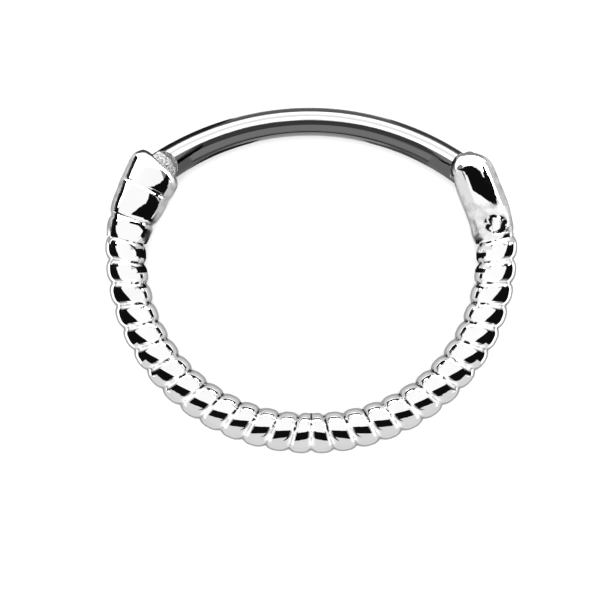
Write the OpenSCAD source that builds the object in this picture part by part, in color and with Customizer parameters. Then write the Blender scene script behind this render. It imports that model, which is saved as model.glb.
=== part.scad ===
// Septum clicker ring, lying on its back on a flat surface.
// A cast, ribbed arc ends in two slotted forks. A curved bar turns on a pin in the
// hinge fork and drops into the slot of the latch fork, which closes the ring.
// Millimetres. X runs across the ring, Y up through the bar, Z out of its front face.
// The origin is under the middle of the ring, on the surface that it lies on.

/* [Ribbed arc] */
// Radius of the arc's centre line
arc_r = 6.68; // [5:0.01:9]
// How far the arc swells past that radius at its lower corners
corner_swell = 0.08; // [0:0.01:0.2]
// Diameter over the rib crests, and thickness of the whole ring
rib_d = 1.47; // [1.35:0.01:2]
// Depth of the grooves between ribs
groove_depth = 0.13; // [0.04:0.01:0.25]
// Ribs on each side of the middle
ribs_per_side = 14; // [8:1:20]
// Angle of arc that one rib takes
rib_pitch = 6.69; // [5:0.01:7]
// Lean of the grooves, mirrored about the middle
rib_slant = 11.5; // [0:0.5:18]

/* [Forks] */
// Roundness of the forks' sections: 1 is an ellipse, and less is nearer a rounded box
fork_roundness = 0.7; // [0.6:0.01:1]
// Share of a fork's length over which its round end turns into that section
fork_blend = 0.25; // [0.1:0.01:0.5]

/* [Hinge fork] */
// Length of the fork along the arc
hinge_fork_len = 3.3; // [3:0.01:4]
// Width across the fork, in the ring's plane
hinge_fork_w = 1.95; // [1.7:0.01:2.3]
// Distance from the fork's tip back to the pin, along the arc
pin_from_tip = 0.85; // [0.7:0.01:1]
// How far the pin sits inside the arc's centre line
pin_inset = 0.34; // [0.2:0.01:0.5]
// Pin diameter
pin_d = 0.44; // [0.3:0.01:0.5]
// Metal left over the pin's blind front end
pin_cover = 0.17; // [0.1:0.01:0.3]
// How far the pin's back end is sunk below the ring's back
pin_sink = 0.05; // [0.02:0.01:0.1]

/* [Latch fork] */
// Length of the fork along the arc
latch_fork_len = 3.45; // [3:0.01:4]
// Width across the fork, in the ring's plane
latch_fork_w = 1.58; // [1.5:0.01:2]
// How far the bar's tip reaches into the fork, from its mouth
latch_reach = 0.98; // [0.8:0.01:1.1]
// Radius of the fork's rounded lip, seen from the front
lip_r = 0.66; // [0.5:0.01:0.75]

/* [Bar] */
// Diameter of the round bar at its middle, which is 18 gauge
bar_d = 1.02; // [0.8:0.01:1.1]
// Diameter that the bar grows to at the latch
bar_end_d = 1.08; // [1:0.01:1.2]
// Diameter that the bar grows to at the pin
bar_eye_d = 1.22; // [1:0.01:1.25]
// Height of the bar's crown above the pin
bar_crown = 2; // [1.5:0.01:2.6]
// How far the crown lies off the ring's middle, towards the hinge
crown_offset = 0.05; // [0:0.01:0.2]
// Thickness of the flat tongue at each end of the bar
tongue_t = 0.5; // [0.4:0.01:0.6]
// How far the tongues' round ends are dressed back from the bar's sides
eye_trim = 0.03; // [0.02:0.01:0.06]
// Flare of the shoulder round the hinge
shoulder_flare = 30; // [10:1:45]

/* [Clearances] */
// Gap between a tongue and each side of its slot
slot_gap = 0.03; // [0.02:0.01:0.06]
// Gap between a tongue and the floor of its slot
floor_gap = 0.08; // [0.05:0.01:0.12]
// Gap between the bar's shoulder and the hinge fork's tip
shoulder_gap = 0.15; // [0.12:0.01:0.3]
// Gap at the latch fork's mouth
mouth_gap = 0.06; // [0.04:0.01:0.1]
// Running gap of the tongue's hole round the pin
pin_run_gap = 0.03; // [0.02:0.01:0.06]
// Gap of the pin in its seat
pin_seat_gap = 0.01; // [0.01:0.01:0.02]

/* [Hidden] */
$fn = 96;

rib_r = rib_d / 2;
bar_r = bar_d / 2;
bar_end_r = bar_end_d / 2;
bar_eye_r = bar_eye_d / 2;
// Height of the ring's middle plane over the surface it lies on
mid_z = rib_r;
// Sides of one section, sections in one rib and sections along the bar
section_sides = 16;
rib_sections = 6;
bar_sections = 24;

// Angles are counted from the bottom of the ring, towards the latch fork.
// A leaning groove starts this much nearer the middle at the centre line than at its outer end.
lean_shift = atan(rib_r * tan(rib_slant) / arc_r);
function groove_angle(k) = k == 0 ? 0 : k * rib_pitch - lean_shift;
arc_end = groove_angle(ribs_per_side);
rib_len = rib_pitch * PI / 180 * arc_r;
// A rib's crest is an arc that falls by the groove's depth over half a rib.
crest_r = (pow(rib_len / 2, 2) + pow(groove_depth, 2)) / (2 * groove_depth);
function crest_drop(share) = crest_r - sqrt(pow(crest_r, 2) - pow((share - 0.5) * rib_len, 2));

// Unit vector at an angle from the bottom of the ring, and a point off the arc's centre line
function outward(angle) = [sin(angle), -cos(angle)];
function on_arc(angle, drift) = (arc_r + corner_swell * pow(sin(2 * angle), 2) + drift) * outward(angle);

// A section is [centre, direction of its outer end, half width, half thickness, roundness].
function section(angle, drift, half_w, half_t, lean, roundness = 1) =
    [on_arc(angle, drift), outward(angle + lean), half_w, half_t, roundness];

// Ribs of the latch side, from the middle outwards. At the middle only the outer side is cut.
function rib_section(k, share) =
    let (
        a = groove_angle(k) + share * (groove_angle(k + 1) - groove_angle(k)),
        lean = rib_slant * min(1, a / groove_angle(1)),
        middle = k == 0 && share == 0,
        drop = middle ? groove_depth / 2 : crest_drop(share),
        half = rib_r - drop
    )
    section(a, middle ? -drop : 0, half / cos(lean), half, lean);

// Sections of a fork, from the last groove to its tip:
// along is a share of the fork's length, drift (inwards is less than 0) of the rib's radius,
// width of the fork's width, thick of the ring's thickness, and lean is an angle.
ALONG = 0;
DRIFT = 1;
WIDTH = 2;
THICK = 3;
LEAN = 4;
hinge_sections = [
    [0, -0.03, 0.75, 0.9, 10],
    [0.045, -0.07, 0.79, 0.97, 9],
    [0.09, -0.11, 0.82, 1, 8],
    [0.17, -0.17, 0.84, 1, 7],
    [0.224, -0.21, 0.79, 0.95, 6],
    [0.27, -0.24, 0.84, 0.99, 6],
    [0.36, -0.32, 0.88, 1, 6],
    [0.48, -0.46, 0.87, 1, 6],
    [0.6, -0.5, 0.92, 1, 6],
    [0.65, -0.56, 0.94, 0.96, 4],
    [0.7, -0.58, 1.01, 1, 1],
    [0.76, -0.6, 1.02, 1, -3],
    [0.82, -0.54, 0.97, 0.99, -6],
    [0.875, -0.37, 0.84, 0.96, -9],
    [0.925, -0.17, 0.66, 0.87, -7],
    [0.968, -0.06, 0.43, 0.7, -3],
    [0.99, 0.05, 0.22, 0.48, 0],
];
latch_sections = [
    [0, -0.1, 0.89, 0.9, 10],
    [0.05, -0.15, 0.93, 0.97, 8],
    [0.1, -0.17, 0.97, 1, 6],
    [0.183, -0.2, 0.97, 1, 3],
    [0.33, -0.28, 1, 1, 0],
    [0.467, -0.37, 1, 1, 0],
    [0.605, -0.42, 0.99, 1, 0],
    [0.72, -0.42, 0.98, 1, 0],
    [0.79, -0.42, 0.95, 0.99, -3],
    [0.85, -0.46, 0.91, 0.97, -7],
    [0.905, -0.44, 0.78, 0.9, -11],
    [0.95, -0.42, 0.59, 0.76, -15],
    [0.98, -0.35, 0.37, 0.55, -18],
];
// Drift of the point that closes each fork's tip
hinge_tip_drift = 0.11;
latch_tip_drift = -0.2;

function along_arc(length) = length / arc_r * 180 / PI;
function fork_section(row, len, w) =
    section(arc_end + along_arc(row[ALONG] * len), row[DRIFT] * rib_r,
        row[WIDTH] * w / 2, row[THICK] * rib_r, row[LEAN],
        1 - (1 - fork_roundness) * min(1, row[ALONG] / fork_blend));

// Everything is worked out on the latch side and mirrored onto the hinge side.
function mirrored(s) = [[-s[0][0], s[0][1]], [-s[1][0], s[1][1]], s[2], s[3], s[4]];
latch_side = concat(
    [for (k = [0 : ribs_per_side - 1], i = [0 : rib_sections - 1]) rib_section(k, i / rib_sections)],
    [for (row = latch_sections) fork_section(row, latch_fork_len, latch_fork_w)]);
hinge_side = concat(
    [for (k = [0 : ribs_per_side - 1], i = [0 : rib_sections - 1]) rib_section(k, i / rib_sections)],
    [for (row = hinge_sections) fork_section(row, hinge_fork_len, hinge_fork_w)]);
sections = concat(
    [for (i = [len(hinge_side) - 1 : -1 : 1]) mirrored(hinge_side[i])],
    latch_side);

hinge_tip = let (p = on_arc(arc_end + along_arc(hinge_fork_len), hinge_tip_drift * rib_r))
    [-p[0], p[1]];
latch_tip = on_arc(arc_end + along_arc(latch_fork_len), latch_tip_drift * rib_r);

// The pin, and the circle that the bar's centre line follows from the pin over its crown
pin_at = let (p = on_arc(arc_end + along_arc(hinge_fork_len - pin_from_tip), -pin_inset))
    [-p[0], p[1]];
bar_arc_r = (pow(pin_at[0] + crown_offset, 2) + pow(bar_crown, 2)) / (2 * bar_crown);
bar_centre = [-crown_offset, pin_at[1] + bar_crown - bar_arc_r];
// The latch fork's mouth is the inner side of this row of its sections, and its lip is
// about a circle that touches it.
MOUTH_ROW = 8;
mouth_section = fork_section(latch_sections[MOUTH_ROW], latch_fork_len, latch_fork_w);
mouth = mouth_section[0] - mouth_section[2] * mouth_section[1];
lip_at = mouth + lip_r * mouth_section[1];
shoulder_r = pin_from_tip + shoulder_gap;
slot_w = tongue_t + 2 * slot_gap;

// Sections of the bar, by the angle from its crown. It grows with the square of that angle.
function on_bar(a) = bar_centre + bar_arc_r * [sin(a), cos(a)];
pin_angle = asin((pin_at[0] - bar_centre[0]) / bar_arc_r);
tip_angle = asin((mouth[0] + latch_reach - bar_end_r - bar_centre[0]) / bar_arc_r);
tip_at = on_bar(tip_angle);
function bar_section(a) =
    let (
        at_end = a < 0 ? pin_angle : tip_angle,
        end_r = a < 0 ? bar_eye_r : bar_end_r,
        r = bar_r + (end_r - bar_r) * pow(a / at_end, 2)
    )
    [on_bar(a), [sin(a), cos(a)], r, r, 1];
bar_run = [for (i = [0 : bar_sections])
    bar_section(pin_angle + (tip_angle - pin_angle) * i / bar_sections)];

// Places the ring over the origin: the lowest crest and the top of the bar lie as far from it.
lowest = (arc_r + rib_r) * cos(groove_angle(1) / 2);
highest = bar_centre[1] + bar_arc_r + bar_r;
shift_y = (lowest - highest) / 2;
// Longer than anything it cuts
reach = 2 * arc_r;

function rounded(v, roundness) = sign(v) * pow(abs(v), roundness);
function section_points(s) =
    [for (i = [0 : section_sides - 1])
        let (
            a = i * 360 / section_sides,
            p = s[0] + s[2] * rounded(cos(a), s[4]) * s[1]
        )
        [p[0], p[1], s[3] * rounded(sin(a), s[4])]];

// A closed skin through sections, fanned to a point at each end
module skin(sections, first_point, last_point) {
    n = section_sides;
    last = len(sections) - 1;
    points = concat(
        [[first_point[0], first_point[1], 0]],
        [for (s = sections) each section_points(s)],
        [[last_point[0], last_point[1], 0]]);
    first_fan = [for (i = [0 : n - 1]) [0, 1 + i, 1 + (i + 1) % n]];
    last_fan = [for (i = [0 : n - 1]) [1 + last * n + (i + 1) % n, 1 + last * n + i, len(points) - 1]];
    sides = [for (k = [0 : last - 1], i = [0 : n - 1])
        let (a = 1 + k * n + i, b = 1 + k * n + (i + 1) % n)
        each [[a, a + n, b], [b, a + n, b + n]]];
    polyhedron(points = points, faces = concat(first_fan, sides, last_fan), convexity = 8);
}

// Room for the hinge tongue: round about the pin, and open over these angles, from the
// bar's underside over the top to the outer side
module hinge_slot() {
    opening = [-28, 30, 90, 150, 200];
    translate([pin_at[0], pin_at[1], -slot_w / 2])
        linear_extrude(slot_w) {
            circle(bar_eye_r + floor_gap);
            polygon(concat([[0, 0]], [for (a = opening) hinge_fork_len * [cos(a), sin(a)]]));
        }
}

// Room for the tip, open at the fork's mouth and top
module latch_slot() {
    translate([bar_centre[0], bar_centre[1], -slot_w / 2])
        linear_extrude(slot_w)
            difference() {
                square([tip_at[0] - bar_centre[0] + bar_end_r + floor_gap, reach + bar_arc_r]);
                circle(bar_arc_r - bar_end_r - floor_gap);
            }
}

// Hole for the pin, drilled from the back and blind at the front
module pin_bore() {
    translate([pin_at[0], pin_at[1], -reach])
        cylinder(r = pin_d / 2 + pin_seat_gap, h = reach + rib_r - pin_cover);
}

module ribbed_arc() {
    color("silver")
        translate([0, shift_y, mid_z])
            difference() {
                skin(sections, hinge_tip, latch_tip);
                hinge_slot();
                latch_slot();
                pin_bore();
            }
}

// What is milled off each end to leave the flat tongues: a flared round about the pin,
// and a round about the latch fork's lip that goes on straight down
module tongue_cuts() {
    depth = bar_eye_r;
    lip_cut_r = lip_r + mouth_gap;
    for (side = [0, 1])
        mirror([0, 0, side]) {
            translate([pin_at[0], pin_at[1], tongue_t / 2])
                cylinder(r1 = shoulder_r, r2 = shoulder_r + depth * tan(shoulder_flare), h = depth);
            translate([lip_at[0], lip_at[1], tongue_t / 2]) {
                cylinder(r = lip_cut_r, h = depth);
                translate([-lip_cut_r, -reach, 0]) cube([reach, reach, depth]);
            }
        }
}

module tongue_end(at, side_r) {
    translate([at[0], at[1], -tongue_t / 2]) cylinder(r = side_r - eye_trim, h = tongue_t);
}

module clicker_bar() {
    color("darkgray")
        translate([0, shift_y, mid_z])
            difference() {
                union() {
                    difference() {
                        skin(bar_run, pin_at, tip_at);
                        tongue_cuts();
                    }
                    tongue_end(pin_at, bar_eye_r);
                    tongue_end(tip_at, bar_end_r);
                }
                translate([pin_at[0], pin_at[1], -reach / 2])
                    cylinder(r = pin_d / 2 + pin_run_gap, h = reach);
            }
}

module hinge_pin() {
    back = -rib_r + pin_sink;
    front = rib_r - pin_cover - pin_seat_gap;
    color("gray")
        translate([pin_at[0], pin_at[1] + shift_y, mid_z + back])
            cylinder(d = pin_d, h = front - back);
}

ribbed_arc();
clicker_bar();
hinge_pin();
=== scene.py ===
"""Looks of a hinged, ribbed septum ring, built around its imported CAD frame.

Metres. X runs across the ring, Y up through the bar, Z out of its front face. The ring lies on
its back on the floor at z = 0, and the camera looks straight down on it.
"""

import math
from collections import namedtuple

import bmesh
import bpy
from mathutils import Matrix, Vector
from mathutils.bvhtree import BVHTree


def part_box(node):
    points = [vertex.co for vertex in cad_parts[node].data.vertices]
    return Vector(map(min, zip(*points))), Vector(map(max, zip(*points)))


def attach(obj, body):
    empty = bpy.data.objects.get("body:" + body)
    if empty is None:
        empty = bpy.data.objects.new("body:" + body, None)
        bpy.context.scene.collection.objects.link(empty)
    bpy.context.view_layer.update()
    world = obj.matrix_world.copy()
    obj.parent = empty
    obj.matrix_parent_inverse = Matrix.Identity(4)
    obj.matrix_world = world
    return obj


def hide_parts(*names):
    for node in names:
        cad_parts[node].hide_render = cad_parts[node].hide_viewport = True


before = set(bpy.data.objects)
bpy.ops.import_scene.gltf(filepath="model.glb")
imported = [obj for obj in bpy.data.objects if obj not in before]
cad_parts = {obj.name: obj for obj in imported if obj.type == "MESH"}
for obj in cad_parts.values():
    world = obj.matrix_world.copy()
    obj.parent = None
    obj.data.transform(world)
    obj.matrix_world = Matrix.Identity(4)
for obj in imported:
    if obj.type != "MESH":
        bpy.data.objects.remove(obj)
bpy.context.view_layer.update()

bl_info = {
    "name": "Septum clicker ring",
    "version": (1, 0, 0),
    "blender": (4, 5, 0),
    "location": "View3D > Sidebar > Ring",
    "description": "Builds the ribbed casting, the bar and the pin of a hinged septum ring",
    "category": "Object",
}

MM = 0.001

PIN_LOW, PIN_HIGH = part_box("hinge_pin")
PIN_AT = (PIN_LOW + PIN_HIGH) / 2
PIN_R = (PIN_HIGH.x - PIN_LOW.x) / 2
MID_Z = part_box("ribbed_arc")[1].z / 2


# A cut across a piece: its middle and outward direction in the ring's plane, half its width and thickness,
# 1 for an ellipse or less for a rounded box, how near a groove's bottom it lies, which places the painted
# shade, and how frosted it is, both from 0 to 1, and its share of a fork's length, or -1 elsewhere
Section = namedtuple("Section", "centre out half_w half_t roundness groove frost along")


class CastingSizes(bpy.types.PropertyGroup):
    """Sizes of the ribbed casting."""

    arc_r: bpy.props.FloatProperty(
        name="Arc radius", description="Radius of the arc's centre line", default=6.68 * MM, unit="LENGTH")
    corner_swell: bpy.props.FloatProperty(
        name="Corner swell", description="How far the arc swells at its lower corners", default=0.08 * MM,
        unit="LENGTH")
    ribs_per_side: bpy.props.IntProperty(
        name="Ribs per side", description="Ribs on each side of the middle", default=14, min=8, max=20)
    rib_pitch: bpy.props.FloatProperty(
        name="Rib pitch", description="Angle of arc that one rib takes", default=math.radians(6.69),
        subtype="ANGLE")
    rib_slant: bpy.props.FloatProperty(
        name="Rib slant", description="Lean of the grooves", default=math.radians(11.5), subtype="ANGLE")
    groove_depth: bpy.props.FloatProperty(
        name="Groove depth", description="Depth of the grooves between ribs", default=0.13 * MM,
        unit="LENGTH")
    groove_fillet: bpy.props.FloatProperty(
        name="Groove fillet", description="Half width of the rounding at a groove's bottom",
        default=0.035 * MM, unit="LENGTH")
    hinge_len: bpy.props.FloatProperty(
        name="Hinge fork length", description="Length of the hinge fork along the arc", default=3.3 * MM,
        unit="LENGTH")
    hinge_w: bpy.props.FloatProperty(
        name="Hinge fork width", description="Width across the hinge fork", default=1.95 * MM, unit="LENGTH")
    latch_len: bpy.props.FloatProperty(
        name="Latch fork length", description="Length of the latch fork along the arc", default=3.45 * MM,
        unit="LENGTH")
    latch_w: bpy.props.FloatProperty(
        name="Latch fork width", description="Width across the latch fork", default=1.58 * MM, unit="LENGTH")
    fork_roundness: bpy.props.FloatProperty(
        name="Fork roundness", description="1 is an ellipse, and less is nearer a rounded box", default=0.7,
        min=0.5, max=1)
    fork_blend: bpy.props.FloatProperty(
        name="Fork blend", description="Share of a fork over which its round end turns boxy", default=0.25,
        min=0.1, max=0.5)


class BarSizes(bpy.types.PropertyGroup):
    """Sizes of the bar and the pin."""

    bar_d: bpy.props.FloatProperty(
        name="Bar diameter", description="Diameter at the bar's middle", default=1.02 * MM, unit="LENGTH")
    end_d: bpy.props.FloatProperty(
        name="Latch end diameter", description="Diameter that the bar grows to at the latch",
        default=1.08 * MM, unit="LENGTH")
    eye_d: bpy.props.FloatProperty(
        name="Hinge end diameter", description="Diameter that the bar grows to at the pin",
        default=1.22 * MM, unit="LENGTH")
    crown: bpy.props.FloatProperty(
        name="Crown", description="Height of the bar's crown above the pin", default=2 * MM, unit="LENGTH")
    crown_offset: bpy.props.FloatProperty(
        name="Crown offset", description="How far the crown lies towards the hinge", default=0.05 * MM,
        unit="LENGTH")
    latch_reach: bpy.props.FloatProperty(
        name="Latch reach", description="How far the tip reaches into the latch fork", default=0.98 * MM,
        unit="LENGTH")
    lip_r: bpy.props.FloatProperty(
        name="Lip radius", description="Radius of the latch fork's lip, seen from the front",
        default=0.66 * MM, unit="LENGTH")
    tongue_t: bpy.props.FloatProperty(
        name="Tongue thickness", description="Thickness of the flat tongues", default=0.5 * MM,
        unit="LENGTH")


class FinishColours(bpy.types.PropertyGroup):
    """Colours of the metals."""

    plating: bpy.props.FloatVectorProperty(
        name="Plating", description="Colour of the mirror-bright plating", subtype="COLOR",
        default=(0.9, 0.9, 0.905))
    bar: bpy.props.FloatVectorProperty(
        name="Bar", description="Colour of the darker polished bar", subtype="COLOR",
        default=(0.14, 0.14, 0.143))
    milled: bpy.props.FloatVectorProperty(
        name="Milled steel", description="Colour of the milled tongues", subtype="COLOR",
        default=(0.3, 0.3, 0.3))
    pin: bpy.props.FloatVectorProperty(
        name="Pin", description="Colour of the pin's ground end", subtype="COLOR", default=(0.5, 0.5, 0.51))
    floor: bpy.props.FloatVectorProperty(
        name="Floor", description="Colour of the pale floor", subtype="COLOR", default=(0.92, 0.92, 0.92))


SETTINGS = (("casting_sizes", CastingSizes), ("bar_sizes", BarSizes), ("finish_colours", FinishColours))

# Rows of a fork's sections, from the last groove to its tip: share of its length, drift of its middle
# (inwards is less than 0) as a share of the rib's radius, share of its width, share of the ring's
# thickness, and lean in degrees. Most are the solid's own. Five of the hinge fork's barrel and the latch
# fork's last ones are fuller here.
HINGE_ROWS = (
    (0, -0.03, 0.75, 0.9, 10),
    (0.045, -0.07, 0.79, 0.97, 9),
    (0.09, -0.11, 0.82, 1, 8),
    (0.17, -0.17, 0.84, 1, 7),
    (0.224, -0.21, 0.79, 0.95, 6),
    (0.27, -0.25, 0.88, 0.99, 6),
    (0.36, -0.34, 0.94, 1, 6),
    (0.48, -0.45, 0.97, 1, 6),
    (0.6, -0.49, 0.99, 1, 6),
    (0.65, -0.55, 1, 1, 4),
    (0.7, -0.58, 1.01, 1, 1),
    (0.76, -0.6, 1.02, 1, -3),
    (0.82, -0.54, 0.97, 0.99, -6),
    (0.875, -0.37, 0.84, 0.96, -9),
    (0.925, -0.17, 0.66, 0.87, -7),
    (0.968, -0.06, 0.43, 0.7, -3),
    (0.99, 0.05, 0.22, 0.48, 0),
    (1, 0.11, 0, 0, 0),
)
LATCH_ROWS = (
    (0, -0.1, 0.89, 0.9, 10),
    (0.05, -0.15, 0.93, 0.97, 8),
    (0.1, -0.17, 0.97, 1, 6),
    (0.183, -0.2, 0.97, 1, 3),
    (0.33, -0.28, 1, 1, 0),
    (0.467, -0.37, 1, 1, 0),
    (0.605, -0.42, 0.99, 1, 0),
    (0.72, -0.42, 0.98, 1, 0),
    (0.79, -0.42, 0.95, 0.99, -3),
    (0.85, -0.46, 0.91, 0.97, -7),
    (0.905, -0.44, 0.78, 0.9, -11),
    (0.95, -0.42, 0.61, 0.77, -15),
    (0.98, -0.38, 0.42, 0.58, -18),
    (1, -0.32, 0, 0, 0),
)
# Columns of a row that hold its width and its thickness
WIDE, THICK = 2, 3
# The latch row where its mouth is
MOUTH_ROW = 8

# Creases across the forks: share of the fork's length at its middle, how much that share grows from the
# middle to the outer side, depth, and half width as a share of the length
HINGE_CREASES = (
    (0.235, 0.02, 0.04 * MM, 0.022),
    (0.612, 0.008, 0.04 * MM, 0.026),
)
LATCH_CREASES = ((0.06, 0.01, 0.02 * MM, 0.04),)
# What is left of their depth on the flanks, and the shares of the half thickness over which it grows
CREASE_ON_FLANK = 0.15
CREASE_FADE = (0.1, 0.7)

# How flat the ribs' crests are: 2 is a plain arch, and more is flatter
CREST_POWER = 2.8

# Where the grooves' sides are frosted, in shares of a rib's length, and where that fades towards the
# flanks, in shares of the half width
FROST_LOW = (0.07, 0.14)
FROST_HIGH = (0.85, 0.91)
FROST_FLANK = (0.55, 0.8)

# Painted shade in the grooves, near black: half its width, its strength, what is left of that on the outer
# side, and the shares of the half width, counted inwards, over which it grows. Strengths over 1 leave fewer
# gaps.
GROOVE_SHADE_HALF_W = 0.06 * MM
GROOVE_SHADE = 2.5
OUTER_SHADE = 0.2
INNER_SIDE = (0, 0.3)

# A low boss on the front of the latch fork, in a shallow moat: its angle from the lowest rib, its drift
# from the arc's centre line, its radius, its dome's rise and half width, and the moat's depth and half width
BOSS_ANGLE = math.radians(97.2)
BOSS_DRIFT = -0.015 * MM
BOSS_R = 0.3 * MM
BOSS_RISE = 0.008 * MM
DOME_HALF_W = 0.55 * BOSS_R
BOSS_MOAT = 0.055 * MM
MOAT_HALF_W = 0.075 * MM
# Painted shade round the boss, a near-black line in its moat: its strength, its half width, how much that
# swells at two opposite sides, and the direction of those
RING_SHADE = 7
RING_HALF_W = 0.055 * MM
RING_SWELL = 0.5
RING_TILT = math.radians(-8)

# Painted shade inside the latch fork's lip, standing in for the dark bar's reflection: its strength, where
# it starts and ends along the fork, and where it starts across it, in shares of the half width counted
# inwards
LIP_SHADE = 4
LIP_FROM = (0.78, 0.84)
LIP_TO = (0.92, 0.97)
LIP_SIDE = (0.82, 0.93)

# Where the plating is satin: from which shares of a fork's half width, and up to which shares of the latch
# fork's length, further up on its inner side. It starts past the last groove and stays off the boss.
SATIN_FLANK = (0.66, 0.82)
SATIN_FOOT = (0.35, 0.43)
SATIN_SLANT = 0.085
SATIN_START = (0, 0.06)
SATIN_ROUND_BOSS = (BOSS_R, 1.3 * BOSS_R)

# Fineness of the meshes. Sections crowd towards a fork's tip the more, the higher TIP_CROWDING is.
SECTION_SIDES = 96
SECTIONS_PER_RIB = 14
SECTIONS_PER_FORK = 140
TIP_CROWDING = 1.5
BAR_SIDES = 64
BAR_SECTIONS = 160
CUTTER_SIDES = 96
FAN_STEPS = 4
LATCH_SLOT_STEPS = 40
WELD_GAP = 1e-9
SHARP_ANGLE = math.radians(38)

# The pin's place: back from the hinge fork's tip, and inwards from the arc's centre line
PIN_FROM_TIP = 0.85 * MM
PIN_INSET = 0.34 * MM
# Angles from +X between which the hinge slot is open
HINGE_OPENING = (math.radians(-28), math.radians(200))

# The same clearances as the solids have, and the flare of the bar's shoulder
SLOT_GAP = 0.03 * MM
FLOOR_GAP = 0.08 * MM
SHOULDER_GAP = 0.15 * MM
MOUTH_GAP = 0.06 * MM
EYE_TRIM = 0.03 * MM
PIN_RUN_GAP = 0.03 * MM
PIN_SEAT_GAP = 0.01 * MM
SHOULDER_FLARE = math.radians(30)

# Places of a piece's materials: its own finish, and milled steel
OWN_FINISH, MILLED = 0, 1


def settings(name):
    return getattr(bpy.context.scene, name)


def spread(first, last, steps):
    """Evenly spread numbers from the first to the last."""
    return [first + (last - first) * i / steps for i in range(steps + 1)]


def smooth(mesh):
    mesh.polygons.foreach_set("use_smooth", [True] * len(mesh.polygons))
    mesh.set_sharp_from_angle(angle=SHARP_ANGLE)


def finish_mesh(bm, name, materials=()):
    """An object at the origin from a bmesh, smooth but for its sharp edges."""
    bmesh.ops.recalc_face_normals(bm, faces=bm.faces)
    mesh = bpy.data.meshes.new(name)
    bm.to_mesh(mesh)
    bm.free()
    obj = bpy.data.objects.new(name, mesh)
    bpy.context.scene.collection.objects.link(obj)
    for material in materials:
        mesh.materials.append(material)
    smooth(mesh)
    return obj


def tube(sections, sides, point_of, marks=None):
    """A bmesh tube through sections, made from a grid that is rolled up, so that its UV map follows it.
    Marks are vertex attributes, each with the function that gives its value."""
    bm = bmesh.new()
    bm.loops.layers.uv.new("UVMap")
    marks = marks or {}
    for mark in marks:
        bm.verts.layers.float.new(mark)
    count = len(sections)
    bmesh.ops.create_grid(bm, x_segments=count - 1, y_segments=sides, size=1, calc_uvs=True)
    for v in bm.verts:
        row = round((v.co.x + 1) / 2 * (count - 1))
        turn = round((v.co.y + 1) / 2 * sides) % sides * math.tau / sides
        v.co = point_of(sections[row], turn)
        for mark, value_of in marks.items():
            v[bm.verts.layers.float[mark]] = value_of(sections[row], turn)
    bmesh.ops.remove_doubles(bm, verts=bm.verts, dist=WELD_GAP)
    return bm


def cut(obj, cutter, operation="DIFFERENCE"):
    """Applies a boolean of the cutter to the object's mesh and removes the cutter."""
    modifier = obj.modifiers.new("cut", "BOOLEAN")
    modifier.operation = operation
    modifier.solver = "EXACT"
    modifier.object = cutter
    graph = bpy.context.evaluated_depsgraph_get()
    old = obj.data
    obj.data = bpy.data.meshes.new_from_object(obj.evaluated_get(graph))
    obj.data.name = old.name
    obj.modifiers.remove(modifier)
    bpy.data.meshes.remove(old)
    bpy.data.objects.remove(cutter)


def finish_cutter(bm, name, surface):
    """A cutter whose cuts show one of the piece's materials."""
    for face in bm.faces:
        face.material_index = surface
    return finish_mesh(bm, name)


def prism(outline, low, high, name):
    """A milling cutter: a flat outline pulled up from one height to another."""
    bm = bmesh.new()
    face = bm.faces.new([bm.verts.new((x, y, low)) for x, y in outline])
    moved = bmesh.ops.extrude_face_region(bm, geom=[face])["geom"]
    top = [made for made in moved if isinstance(made, bmesh.types.BMVert)]
    bmesh.ops.translate(bm, vec=(0, 0, high - low), verts=top)
    return finish_cutter(bm, name, MILLED)


def drum(centre, r_low, r_high, low, high, name, surface=MILLED):
    """A cutter or disc: a round of two radii between two heights."""
    bm = bmesh.new()
    place = Matrix.Translation((centre.x, centre.y, (low + high) / 2))
    bmesh.ops.create_cone(bm, cap_ends=True, segments=CUTTER_SIDES, radius1=r_low, radius2=r_high,
                          depth=high - low, matrix=place)
    return finish_cutter(bm, name, surface)


# The ring's own geometry, in its plane


def outward(angle):
    """Direction at an angle from the lowest rib, towards the latch."""
    return Vector((math.sin(angle), -math.cos(angle)))


def upward(angle):
    """Direction at an angle from straight up, towards the latch."""
    return Vector((math.sin(angle), math.cos(angle)))


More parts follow.
